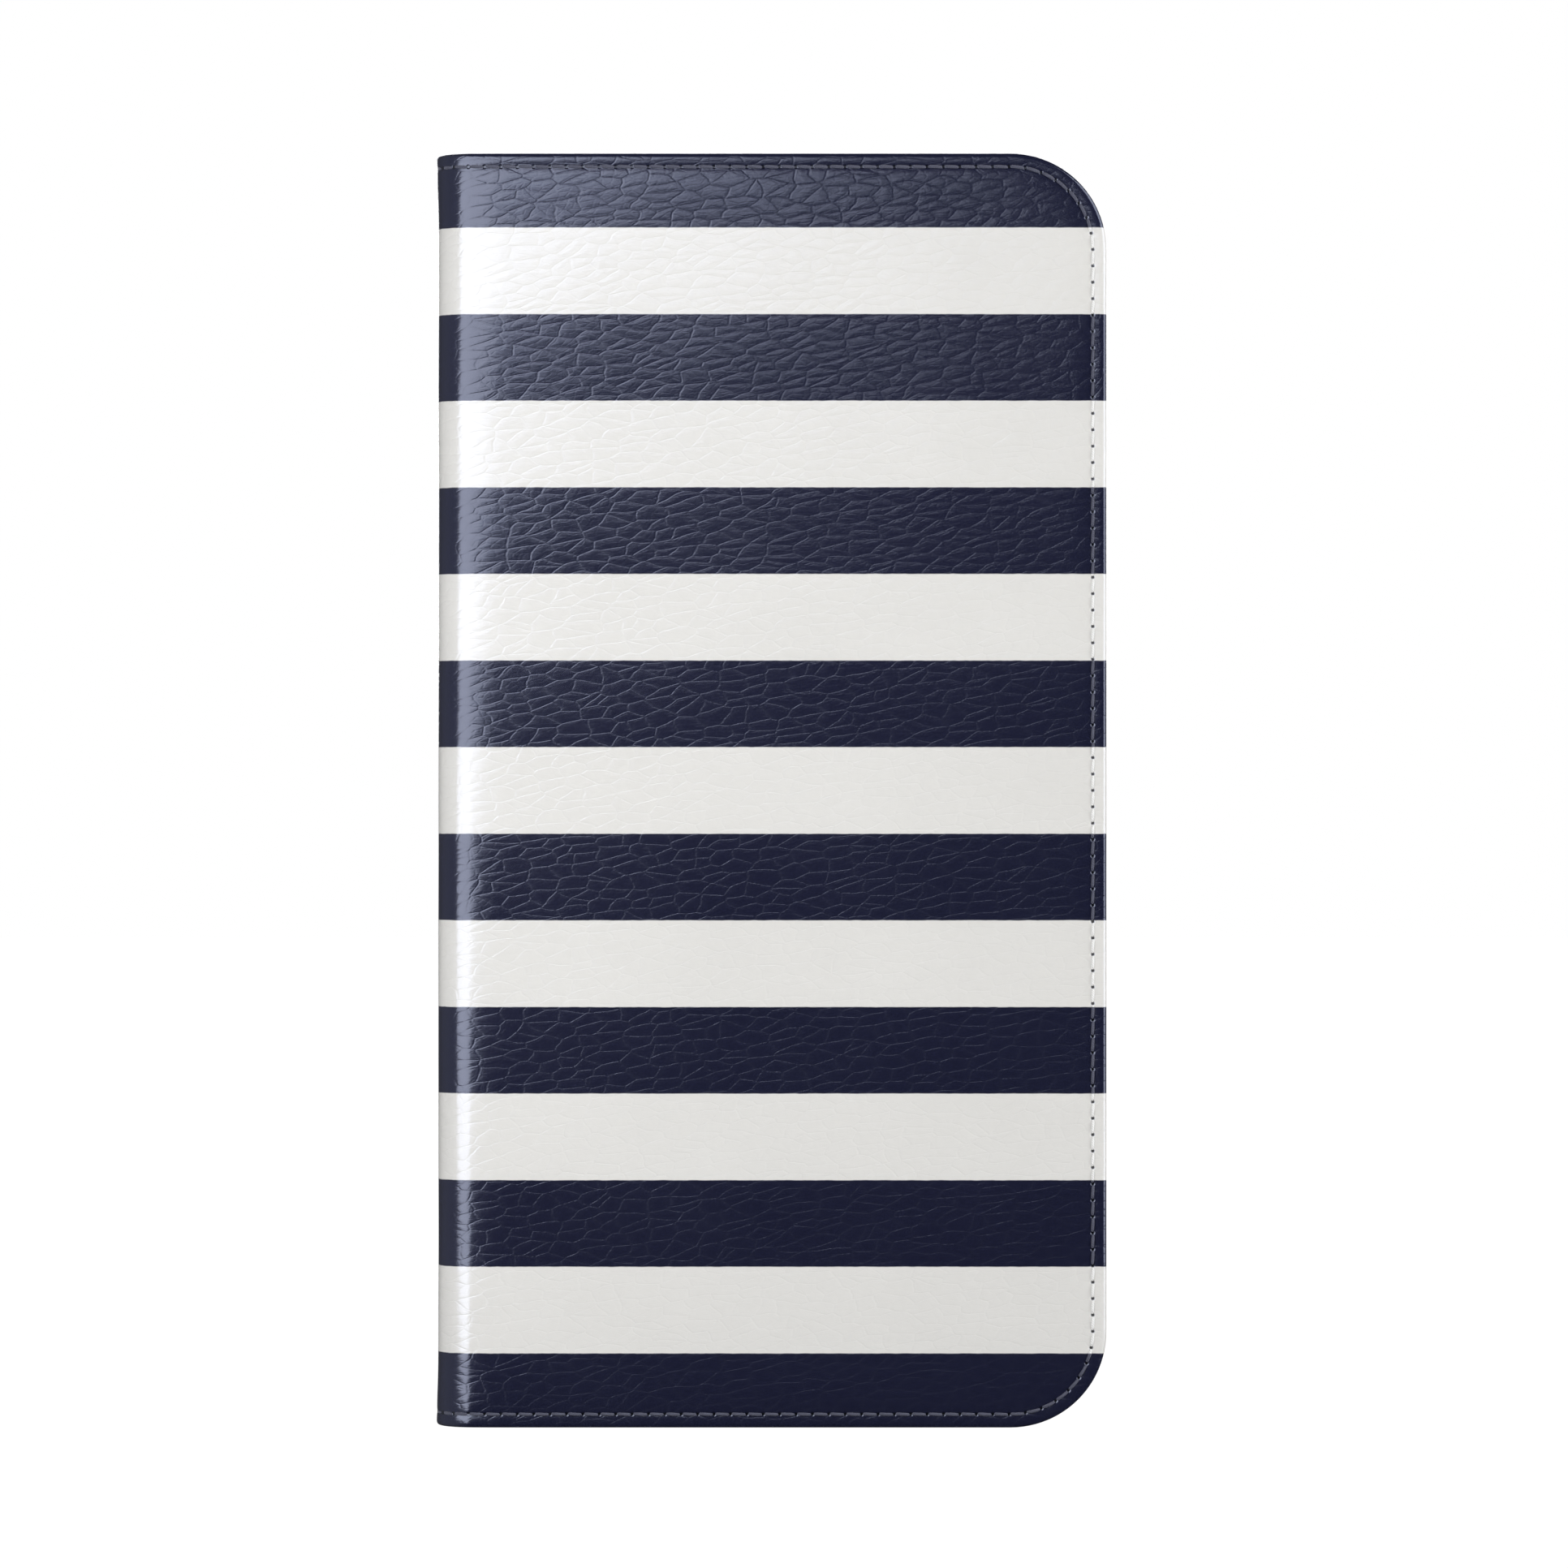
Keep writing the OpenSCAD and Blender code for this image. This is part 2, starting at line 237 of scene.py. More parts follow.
def plain_edge(inset, outer, inner, lip):
    """A sheet's cut edge with a small round at its lip, from outer depth to inner depth."""
    points = []
    rings, flat_run = 4, 3 * MM
    for i in range(rings + 1):
        a = math.pi / 2 * i / rings
        points.append((inset + lip * (1 - math.cos(a)), outer + (inner - outer) * math.sin(a)))
    points.append((inset + flat_run, inner))
    return Edge(points)


# ---- Mesh tools ----


def deselect():
    if bpy.context.object and bpy.context.object.mode != "OBJECT":
        bpy.ops.object.mode_set(mode="OBJECT")
    bpy.ops.object.select_all(action="DESELECT")


def take(piece):
    deselect()
    piece.select_set(True)
    bpy.context.view_layer.objects.active = piece


def named(name, settle=False):
    """Names the piece that was just made. settle applies its place, turn and size to its mesh."""
    piece = bpy.context.object
    piece.name = piece.data.name = name
    if settle:
        bpy.ops.object.transform_apply(location=True, rotation=True, scale=True)
    return piece


def spread(stops):
    """Line places from stretches of (start, end, count), without doubles."""
    out = []
    for start, end, count in stops:
        out += [start + (end - start) * i / count for i in range(count)]
    return out + [stops[-1][1]]


def ruled_grid(name, across, up):
    """A flat grid whose lines stand at the given places across (X) and up (Y)."""
    deselect()
    bpy.ops.mesh.primitive_grid_add(
        x_subdivisions=len(across) - 1, y_subdivisions=len(up) - 1, size=2, location=(0, 0, 0))
    piece = named(name)
    co = coords(piece)
    i = np.rint((co[:, 0] + 1) / 2 * (len(across) - 1)).astype(int)
    j = np.rint((co[:, 1] + 1) / 2 * (len(up) - 1)).astype(int)
    co[:, 0] = np.array(across)[i]
    co[:, 1] = np.array(up)[j]
    set_coords(piece, co)
    return piece


def coords(piece):
    co = np.zeros(len(piece.data.vertices) * 3)
    piece.data.vertices.foreach_get("co", co)
    return co.reshape(-1, 3)


def set_coords(piece, co):
    piece.data.vertices.foreach_set("co", np.asarray(co, float).ravel())
    piece.data.update()


def vectors(piece, name):
    """A stored vector of each vertex."""
    values = np.zeros(len(piece.data.vertices) * 3)
    piece.data.attributes[name].data.foreach_get("vector", values)
    return values.reshape(-1, 3)


def set_attribute(piece, name, values):
    """Stores a number or a vector for each vertex."""
    values = np.asarray(values, float)
    kind, key = ("FLOAT", "value") if values.ndim == 1 else ("FLOAT_VECTOR", "vector")
    old = piece.data.attributes.get(name)
    if old:
        piece.data.attributes.remove(old)
    piece.data.attributes.new(name, kind, "POINT").data.foreach_set(key, values.ravel())


def apply_modifier(piece, kind, **settings):
    take(piece)
    m = piece.modifiers.new(kind.lower(), kind)
    for key, value in settings.items():
        setattr(m, key, value)
    bpy.ops.object.modifier_apply(modifier=m.name)


def smooth(piece, angle):
    """Shades smooth wherever faces meet by less than so many degrees."""
    take(piece)
    bpy.ops.object.shade_smooth_by_angle(angle=math.radians(angle))


@contextlib.contextmanager
def editing(piece):
    """Edit mode with the whole mesh selected."""
    take(piece)
    bpy.ops.object.mode_set(mode="EDIT")
    bpy.ops.mesh.select_all(action="SELECT")
    yield
    bpy.ops.object.mode_set(mode="OBJECT")


def slice_across(piece, places):
    """Adds lines across X at the given places, without cutting the mesh apart."""
    with editing(piece):
        for x in places:
            bpy.ops.mesh.select_all(action="SELECT")
            bpy.ops.mesh.bisect(plane_co=(x, 0, 0), plane_no=(1, 0, 0))


def face_out(piece, near, direction):
    """Turns an open sheet's faces so that the one nearest to a point looks along a direction."""
    piece.data.update()
    best = min(piece.data.polygons, key=lambda f: (f.center - near).length)
    if best.normal.dot(direction) < 0:
        with editing(piece):
            bpy.ops.mesh.flip_normals()


def recalc_out(piece):
    with editing(piece):
        bpy.ops.mesh.normals_make_consistent(inside=False)


def pick(piece, kind, test):
    """Opens a piece in edit mode with only the vertices or edges that pass a test selected."""
    take(piece)
    bpy.ops.object.mode_set(mode="EDIT")
    bpy.ops.mesh.select_mode(type=kind)
    bpy.ops.mesh.select_all(action="DESELECT")
    bpy.ops.object.mode_set(mode="OBJECT")
    for item in piece.data.vertices if kind == "VERT" else piece.data.edges:
        item.select = test(item)
    bpy.ops.object.mode_set(mode="EDIT")


def cut_with(piece, cutter):
    apply_modifier(piece, "BOOLEAN", operation="DIFFERENCE", object=cutter, solver="EXACT")
    bpy.data.objects.remove(cutter)


def pill_cutter(centre_x, centre_z, y0, y1, width, height):
    """A pill-shaped prism along Y, from a cylinder pulled out in height."""
    deselect()
    bpy.ops.mesh.primitive_cylinder_add(
        vertices=64, radius=width / 2, depth=abs(y1 - y0), location=(centre_x, (y0 + y1) / 2, centre_z),
        rotation=(math.pi / 2, 0, 0))
    piece = named("pill_cutter", settle=True)
    co = coords(piece)
    co[:, 2] += np.where(co[:, 2] > centre_z, 1, -1) * (height - width) / 2
    set_coords(piece, co)
    recalc_out(piece)
    return piece


# ---- Sheets that follow the case ----


def row_stretches():
    """Lengths of the stitch row: to the bottom corner, round it, and up to the next."""
    s = sizes()
    return path().length - s.corner_r, (s.corner_r - s.stitch_inset) * math.pi / 2, HEIGHT - 2 * s.corner_r


def row_pitch():
    """The stitch pitch nearest to the stated one that fits the row, and the row's length."""
    straight, bend, upright = row_stretches()
    total = 2 * straight + 2 * bend + upright
    return total / round(total / sizes().stitch_pitch), total


def ripples(inset, u, z, side):
    """Slow unevenness of a hand-laid face, fading out before the stitch row."""
    row_clear, fade, per_metre, apart = 3 * MM, 6 * MM, 75, 3.7
    soft = np.clip((inset - row_clear) / fade, 0, 1)
    places = zip(u * per_metre, z * per_metre)
    return soft * np.array([noise.noise(Vector((a, b, side * apart))) for a, b in places])


def spine_end_swell(inset, u, z):
    """How far the leather stands out at the two ends of the spine, where it is turned in round the fold."""
    swell, up_reach, fold_reach, rim = 0.28 * MM, 5.5 * MM, 6 * MM, 12 * MM
    ends = np.exp(-((np.minimum(z, HEIGHT - z) / up_reach) ** 2))
    spine = np.clip(1 - (u - path().fold_start) / fold_reach, 0, 1)
    return swell * ends * spine * (inset < rim)


def lay(piece, edge, side, wave=0.0):
    """Bends a flat sheet into place: round its corners, over its edge, and round the spine."""
    s = sizes()
    flat = coords(piece)
    fu, fz = flat[:, 0], flat[:, 1]
    r = s.corner_r
    reach = edge.past + r
    centre_u = path().length - r
    right = np.clip(fu - centre_u, 0, None)
    top = fz > MIDDLE
    up = np.where(top, np.clip(fz - (HEIGHT - r), 0, None), np.clip(r - fz, 0, None))
    corner = (right > 0) & (up > 0)
    ring = np.where(corner, np.maximum(right, up), 0)
    low, high = np.minimum(right, up), np.maximum(right, up)
    share = np.where(high > 0, low / np.maximum(high, 1e-12), 0) * math.pi / 4
    theta = np.where(right >= up, share, math.pi / 2 - share)
    q_side = path().length + edge.past - fu
    q_ends = np.minimum(HEIGHT + edge.past - fz, fz + edge.past)
    q = np.where(corner, reach - ring, np.minimum(q_side, q_ends))
    inset, depth = edge.at(q)
    plain = q - edge.past
    near_side = q_side < q_ends

    def spot(e):
        u = np.where(corner, centre_u + (r - e) * np.cos(theta), np.where(near_side, path().length - e, fu))
        rise = np.where(corner, (r - e) * np.sin(theta) + MIDDLE - r, MIDDLE - e)
        z = np.where(corner | ~near_side, MIDDLE + np.where(top, rise, -rise), fz)
        return u, z

    u, z = spot(inset)
    cut_u, cut_z = spot(plain)
    straight, bend, upright = row_stretches()
    turn = (r - s.stitch_inset) * (math.pi / 2 - theta)
    first = np.where(corner, straight + turn, np.where(near_side, straight + bend + fz - r, fu))
    total = row_pitch()[1]
    run = np.where(top & (corner | ~near_side), total - first, first)
    if wave:
        depth = depth - wave * ripples(inset, cut_u, cut_z, side) - spine_end_swell(inset, u, z)
    set_coords(piece, path().place(u, z, depth, side))
    set_attribute(piece, "cut", np.column_stack([cut_u, cut_z, depth]))
    set_attribute(piece, "row", np.column_stack([run, plain, np.zeros(len(run))]))


def sheet_lines(edge, fold_count, face_step):
    """Line places across and up a flat sheet: close at its edges and in the fold."""
    reach = sizes().corner_r
    corner = path().length - reach
    rim_u = sorted(path().length + edge.past - q for q in edge.length)
    rim_z = sorted(HEIGHT + edge.past - q for q in edge.length)
    spine_step, corner_step = 0.5 * MM, 1.1 * MM

    def count(length, step):
        return max(2, round(length / step))

    corner_count = count(rim_u[0] - corner, corner_step)
    across = spread([
        (0, path().fold_start, count(path().fold_start, spine_step)),
        (path().fold_start, path().fold_end, fold_count),
        (path().fold_end, corner, count(corner - path().fold_end, face_step)),
        (corner, rim_u[0], corner_count)])[:-1] + rim_u
    up_half = spread([
        (MIDDLE, HEIGHT - reach, count(MIDDLE - reach, face_step)),
        (HEIGHT - reach, rim_z[0], corner_count)])[:-1] + rim_z
    up = [HEIGHT - z for z in reversed(up_half[1:])] + up_half
    return across, up


def wrapped_sheet(name, edge, side, thickness, outward, fold_count=40, face_step=2.2 * MM, wave=0.0):
    """A sheet of the case, from the middle of the spine to the cover's edge, with its thickness."""
    piece = ruled_grid(name, *sheet_lines(edge, fold_count, face_step))
    lay(piece, edge, side, wave)
    face = Vector((0, side * FRONT, MIDDLE))
    face_out(piece, face, Vector((0, -side * outward, 0)))
    apply_modifier(piece, "SOLIDIFY", thickness=thickness, offset=-1, use_rim=True)
    smooth(piece, 60)
    return piece


def hinge(piece, side, cover_reach=FOLD_REACH, spine_reach=FOLD_REACH):
    """Applies the sheet's place and turn to its mesh. The reaches are not used."""
    if side > 0:
        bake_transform(piece)
    else:
        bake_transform(piece)


def fit_sheet(piece, side, finish, nodes, grow=0.0, reaches=(FOLD_REACH, FOLD_REACH)):
    """Gives a cover's sheet its camera window, if it is the back one, and its finish, and hides the frame's
    parts that it replaces.
    """
    if side < 0:
        open_window(piece, grow)
    paint(piece, finish)
    hinge(piece, side, *reaches)
    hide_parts(*nodes)


def flat_size(edge):
    return path().length + edge.past, HEIGHT + 2 * edge.past


def window_centre():
    low, high = OPENINGS["camera_window"]
    return (low[0] + high[0]) / 2, (low[2] + high[2]) / 2


def open_window(piece, grow=0.0):
    """Cuts the camera window and puts the sheet's own pattern back round it."""
    s = sizes()
    x, z = window_centre()
    cut_with(piece, pill_cutter(x, z, 0, -2 * FRONT, s.camera_w + 2 * grow, s.camera_h + 2 * grow))
    co = coords(piece)
    cut, row = vectors(piece, "cut"), vectors(piece, "row")
    edge_clear, off_row = 4 * MM, 9 * MM
    near = (abs(co[:, 0] - x) < s.camera_w) & (abs(co[:, 2] - z) < s.camera_h)
    near &= RIGHT - co[:, 0] > edge_clear
    cut[near, 0] = path().length - (RIGHT - co[near, 0])
    cut[near, 1] = co[near, 2]
    row[near, :2] = 0, off_row
    set_attribute(piece, "cut", cut)
    set_attribute(piece, "row", row)


# ---- Stitches ----


def row_spot(run, across):
    """Place on the unrolled cover of a point so far along the stitch row, and off it by across."""
    r, inset = sizes().corner_r, sizes().stitch_inset
    straight, bend, _ = row_stretches()
    total = row_pitch()[1]
    top = run > total / 2
    run = np.where(top, total - run, run)
    e = inset - across
    theta = np.clip((run - straight) / (r - inset), 0, math.pi / 2)
    u = np.where(run < straight, run, path().length - r + (r - e) * np.sin(theta))
    z = np.where(run < straight + bend, r - (r - e) * np.cos(theta), r + run - straight - bend)
    return u, np.where(top, HEIGHT - z, z)


def one_stitch(length, width):
    """A short bowed bead of thread whose two ends dive into the needle holes, along X."""
    deselect()
    bpy.ops.mesh.primitive_cylinder_add(
        vertices=8, radius=width / 2, depth=length, end_fill_type="TRIFAN", rotation=(0, math.pi / 2, 0))
    piece = named("stitch_pattern", settle=True)
    slice_across(piece, [share * length for share in (-0.42, -0.32, -0.17, 0, 0.17, 0.32, 0.42)])
    taper, flatness, crown, dive, slant = 0.45, 0.85, 0.30, 0.75, 0.05
    co = coords(piece)
    t = np.abs(co[:, 0]) / (length / 2)
    slim = np.sqrt(np.clip(1 - taper * t**3, 0.2, 1))
    co[:, 1] *= slim
    co[:, 2] = co[:, 2] * slim * flatness + width * (crown - dive * t**4)
    co[:, 1] += co[:, 0] * slant
    set_coords(piece, co)
    recalc_out(piece)
    return piece


def stitch_row(name, pitch, count, width):
    """A straight row of like stitches along X, starting with the one at 0."""
    piece = one_stitch(pitch * 0.9, width)
    piece.name = piece.data.name = name
    set_attribute(piece, "thread", coords(piece) / pitch)
    apply_modifier(piece, "ARRAY", count=count, use_relative_offset=False, use_constant_offset=True,
                   constant_offset_displace=(pitch, 0, 0))
    return piece


def edge_row(name, side, depth, up, width):
    """The row of stitches round a cover. up is 1 where the beads stand out of the outer face, -1 inside."""
    pitch, total = row_pitch()
    piece = stitch_row(name, pitch, round(total / pitch), width)
    co = coords(piece)
    u, z = row_spot(co[:, 0] + pitch / 2, co[:, 1])
    set_coords(piece, path().place(u, z, depth - up * co[:, 2], side))
    recalc_out(piece)
    smooth(piece, 60)
    return piece


# ---- Pocket panels ----


def panel_outline(name, node, notch_r):
    """A pocket panel seen flat: round at the free edge, with a thumb notch in its open edge."""
    low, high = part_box(node)
    r = sizes().corner_r - (RIGHT - high.x)
    deselect()
    bpy.ops.mesh.primitive_plane_add(size=1, location=((low.x + high.x) / 2, (low.y + high.y) / 2, MIDDLE),
                                     rotation=(math.pi / 2, 0, 0))
    bpy.context.object.scale = (high.x - low.x, high.z - low.z, 1)
    piece = named(name, settle=True)
    pick(piece, "VERT", lambda v: v.co.x > (low.x + high.x) / 2)
    bpy.ops.mesh.bevel(offset=r, segments=14, affect="VERTICES")
    bpy.ops.object.mode_set(mode="OBJECT")
    apply_modifier(piece, "SOLIDIFY", thickness=high.y - low.y, offset=0)
    deselect()
    bpy.ops.mesh.primitive_cylinder_add(
        vertices=48, radius=notch_r, depth=4 * MM, location=(low.x, (low.y + high.y) / 2, MIDDLE),
        rotation=(math.pi / 2, 0, 0))
    cut_with(piece, named("notch_cutter", settle=True))
    return piece


def pocket_panel(name, node):
    """A panel with softened edges and a creased line beside its open edge."""
    low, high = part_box(node)
    notch_r, notch_end = 7 * MM, 7.2 * MM
    crease_in, crease_half, crease_depth = 1.55 * MM, 0.25 * MM, 0.14 * MM
    piece = panel_outline(name, node, notch_r)
    recalc_out(piece)
    offsets = (crease_in - crease_half, crease_in, crease_in + crease_half, notch_end)
    slice_across(piece, [low.x + offset for offset in offsets])
    co = coords(piece)
    crease = (abs(co[:, 0] - low.x - crease_in) < 0.05 * MM) & (co[:, 1] > (low.y + high.y) / 2)
    co[crease, 1] -= crease_depth
    set_coords(piece, co)
    apply_modifier(piece, "BEVEL", width=0.1 * MM, segments=2, limit_method="ANGLE",
                   angle_limit=math.radians(50))
    smooth(piece, 40)
    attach(piece, "front_cover")
    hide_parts(node)
    return piece


def seam_rows(name, rows):
    """Straight rows of stitches on the pocket panels. Each has a start and an end on the face they lie on."""
    pieces = []
    for start, end in rows:
        run = (end - start).length
        count = max(1, round(run / sizes().stitch_pitch))
        pitch = run / count
        along = np.array(end - start) / run
        up = np.array((0, 1, 0))
        piece = stitch_row(name, pitch, count, INNER_THREAD)
        co = coords(piece)
        set_coords(piece, np.array(start) + (co[:, :1] + pitch / 2) * along
                   + co[:, 1:2] * np.cross(up, along) + co[:, 2:] * up)
        pieces.append(piece)
    deselect()
    for piece in pieces:
        piece.select_set(True)
    bpy.context.view_layer.objects.active = pieces[0]
    bpy.ops.object.join()
    piece = bpy.context.object
    piece.name = piece.data.name = name
    recalc_out(piece)
    smooth(piece, 60)
    return piece


# ---- Phone tray ----


def rounded_block(name, low, high, r, segments):
    """A block whose four edges along Y are rounded."""
    deselect()
    bpy.ops.mesh.primitive_cube_add(size=1, location=(Vector(low) + Vector(high)) / 2)
    bpy.context.object.scale = Vector(high) - Vector(low)
    piece = named(name, settle=True)
    along_y = [abs(a.co.y - b.co.y) > 0.5 * abs(high[1] - low[1])
               for a, b in ([piece.data.vertices[i] for i in e.vertices] for e in piece.data.edges)]
    pick(piece, "EDGE", lambda e: along_y[e.index])
    bpy.ops.mesh.bevel(offset=r, segments=segments, affect="EDGES")
    bpy.ops.object.mode_set(mode="OBJECT")
    recalc_out(piece)
    return piece


def build_tray():
    """The soft tray: walls, floor, lip over the phone's edge, key gaps, port gap and camera window."""
    s = sizes()
    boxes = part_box("tray_plate"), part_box("tray_rim")
    low = Vector([min(b[0][i] for b in boxes) for i in range(3)])
    high = Vector([max(b[1][i] for b in boxes) for i in range(3)])
    wall, floor_t, lip, lip_t = 1.3 * MM, 1.1 * MM, 0.8 * MM, 0.5 * MM
    outer_r, corner_lines = 11.8 * MM, 16
    gap_r, gap_lines, gap_play, port_top = 1.5 * MM, 5, 0.2 * MM, 6 * MM
    spare = 2 * MM  # how far a cutter stands past the face it cuts through
    tray = rounded_block("phone_tray_shell", low, high, outer_r, corner_lines)
    inner_low = Vector((low.x + wall, low.y + lip_t, low.z + wall))
    inner_high = Vector((high.x - wall, high.y - floor_t, high.z - wall))
    cut_with(tray, rounded_block("cavity_cutter", inner_low, inner_high, outer_r - wall, corner_lines))
    before = low.y - spare
    mouth_low = Vector((inner_low.x + lip, before, inner_low.z + lip))
    mouth_high = Vector((inner_high.x - lip, inner_low.y + 1 * MM, inner_high.z - lip))
    cut_with(tray, rounded_block("mouth_cutter", mouth_low, mouth_high, outer_r - wall - lip, corner_lines))
    centre = (low.x + high.x) / 2
    foot = high.y - floor_t - 1.6 * MM
    for gap, x0, x1 in (("power_key_gap", centre, high.x + spare), ("volume_key_gap", low.x - spare, centre)):
        z0, z1 = OPENINGS[gap][0][2] - gap_play, OPENINGS[gap][1][2] + gap_play
        cut_with(tray, rounded_block("gap_cutter", (x0, before, z0), (x1, foot, z1), gap_r, gap_lines))
    x0, x1 = OPENINGS["port_gap"][0][0], OPENINGS["port_gap"][1][0]
    cut_with(tray, rounded_block("port_cutter", (x0, before, -spare), (x1, foot, port_top), gap_r, gap_lines))
    x, z = window_centre()
    cut_with(tray, pill_cutter(x, z, 0, high.y + spare, s.camera_w, s.camera_h))
    apply_modifier(tray, "BEVEL", width=0.22 * MM, segments=3, limit_method="ANGLE",
                   angle_limit=math.radians(45))
    smooth(tray, 35)
    return tray


# ---- Shader groups ----


class Group:
    """A shader node group, built with named inputs and outputs."""

    def __init__(self, name, inputs, outputs):
        self.tree = bpy.data.node_groups.new(name, "ShaderNodeTree")
        for key, kind, value in inputs:
            socket = self.tree.interface.new_socket(name=key, in_out="INPUT", socket_type="NodeSocket" + kind)
            if value is not None:
                socket.default_value = value
        for key, kind in outputs:
            self.tree.interface.new_socket(name=key, in_out="OUTPUT", socket_type="NodeSocket" + kind)
        self.inside = self.tree.nodes.new("NodeGroupInput").outputs
        self.outside = self.tree.nodes.new("NodeGroupOutput").inputs


def feed(tree, sockets, inputs):
    """Sets sockets by key. An input is a value, or another node's output to link."""
    for key, value in inputs.items():
        if isinstance(value, bpy.types.NodeSocket):
            tree.links.new(value, sockets[key])
        else:
            sockets[key].default_value = value


def node(tree, kind, inputs=None, **settings):
    n = tree.nodes.new("ShaderNode" + kind)
    for key, value in settings.items():
        setattr(n, key, value)
    feed(tree, n.inputs, inputs or {})
    return n


def math_node(tree, operation, *values, clamp=False):
    return node(tree, "Math", dict(enumerate(values)), operation=operation, use_clamp=clamp).outputs[0]


def plus(tree, a, b):
    return math_node(tree, "ADD", a, b)


def minus(tree, a, b):
    return math_node(tree, "SUBTRACT", a, b)


def times(tree, a, b):
    return math_node(tree, "MULTIPLY", a, b)


def mix_colour(tree, factor, a, b, blend="MIX"):
    return node(tree, "Mix", {0: factor, 6: a, 7: b}, data_type="RGBA", blend_type=blend).outputs[2]


def shaded(tree, colour, level):
    """A colour multiplied by a level."""
    tint = node(tree, "CombineColor", {"Red": level, "Green": level, "Blue": level}).outputs[0]
    return mix_colour(tree, 1.0, colour, tint, "MULTIPLY")


def ramp(tree, value, low, high):
    """0 at low, 1 at high, smooth between."""
    n = node(tree, "MapRange", {"Value": value, "From Min": low, "From Max": high},
             interpolation_type="SMOOTHSTEP")
    return n.outputs[0]


def pebble_group():
    """Pebbled grain on a flat place: rounded cells, longer one way, over a finer grain."""
    g = Group("pebble_grain",
              [("Vector", "Vector", None), ("Cells", "Float", 720.0), ("Stretch", "Float", 0.44),
               ("Tilt", "Float", math.radians(-8))],
              [("Height", "Float"), ("Tone", "Float")])
    t = g.tree
    turned = node(t, "VectorRotate", {"Vector": g.inside["Vector"], "Angle": g.inside["Tilt"]},
                  rotation_type="Z_AXIS")
    squeeze = node(t, "CombineXYZ", {"X": g.inside["Stretch"], "Y": 1.0, "Z": 1.0})
    scaled = node(t, "VectorMath", {0: turned.outputs[0], 1: squeeze.outputs[0]}, operation="MULTIPLY")
    wander = node(t, "TexNoise", {"Vector": scaled.outputs[0], "Scale": 300.0, "Detail": 2.0},
                  noise_dimensions="2D")
    centred = node(t, "VectorMath", {0: wander.outputs["Color"], 1: (0.5, 0.5, 0.5)}, operation="SUBTRACT")
    bent = node(t, "VectorMath", {0: centred.outputs[0], "Scale": 0.0010}, operation="SCALE")
    place = node(t, "VectorMath", {0: scaled.outputs[0], 1: bent.outputs[0]}, operation="ADD").outputs[0]
    cells = node(t, "TexVoronoi", {"Vector": place, "Scale": g.inside["Cells"]},
                 feature="DISTANCE_TO_EDGE", voronoi_dimensions="2D")
    closer = times(t, g.inside["Cells"], 2.2)
    small = node(t, "TexVoronoi", {"Vector": place, "Scale": closer},
                 feature="DISTANCE_TO_EDGE", voronoi_dimensions="2D")
    fine = node(t, "TexNoise", {"Vector": place, "Scale": 3000.0, "Detail": 2.0}, noise_dimensions="2D")
    crease, dome, little_dome = 0.08, 0.40, 0.18
    plate = plus(t, times(t, ramp(t, cells.outputs["Distance"], 0.0, crease), 0.5),
                 times(t, ramp(t, cells.outputs["Distance"], 0.0, dome), 0.5))
    little = times(t, ramp(t, small.outputs["Distance"], 0.0, little_dome), 0.16)
    grit = times(t, fine.outputs["Fac"], 0.14)
    height = plus(t, plus(t, plate, little), grit)
    t.links.new(height, g.outside["Height"])
    t.links.new(plate, g.outside["Tone"])
    return g.tree


def band_group():
    """Printed bands across the height. The output is 1 on the dark bands."""
    g = Group("printed_bands", [("Height", "Float", 0.0), ("Wander", "Float", 0.0)], [("Dark", "Float")])
    t = g.tree
    from_middle = minus(t, g.inside["Height"], MIDDLE)
    moved = plus(t, from_middle, g.inside["Wander"])
    turns = times(t, moved, math.pi / sizes().band)
    wave = math_node(t, "COSINE", turns)
    t.links.new(ramp(t, wave, 0.02, -0.02), g.outside["Dark"])
    return g.tree


def wear_group():
    """Fine unevenness of tone and of roughness."""
    g = Group("handling", [("Vector", "Vector", None), ("Amount", "Float", 0.1)],
              [("Shade", "Float"), ("Rough", "Float")])
    t = g.tree
    broad = node(t, "TexNoise", {"Vector": g.inside["Vector"], "Scale": 55.0, "Detail": 4.0})
    close = node(t, "TexNoise", {"Vector": g.inside["Vector"], "Scale": 900.0, "Detail": 3.0})
    both = plus(t, times(t, broad.outputs["Fac"], 0.6),
                     times(t, close.outputs["Fac"], 0.4))
    change = times(t, minus(t, both, 0.5), g.inside["Amount"])
    t.links.new(plus(t, 1.0, change), g.outside["Shade"])
    t.links.new(change, g.outside["Rough"])
    return g.tree


def material(name):
    m = bpy.data.materials.new("case_" + name)
    m.use_nodes = True
    tree = m.node_tree
    return m, tree, tree.nodes["Principled BSDF"].inputs


def group(tree, shared, inputs):
    return node(tree, "Group", inputs, node_tree=bpy.data.node_groups[shared]).outputs


def bump(tree, shader, height, distance, strength=1.0):
    n = node(tree, "Bump", {"Height": height, "Distance": distance, "Strength": strength})
    tree.links.new(n.outputs[0], shader["Normal"])


def attribute(tree, name):
    return node(tree, "Attribute", attribute_name=name, attribute_type="GEOMETRY").outputs


def object_place(tree):
    return node(tree, "TexCoord").outputs["Object"]


def dark_bands(tree, wander=0.0):
    """1 on the dark bands."""
    height = node(tree, "SeparateXYZ", {"Vector": object_place(tree)}).outputs["Z"]
    return group(tree, "printed_bands", {"Height": height, "Wander": wander})["Dark"]


def rough_from(tree, shader, base, change):
    tree.links.new(math_node(tree, "ADD", base, change, clamp=True), shader["Roughness"])


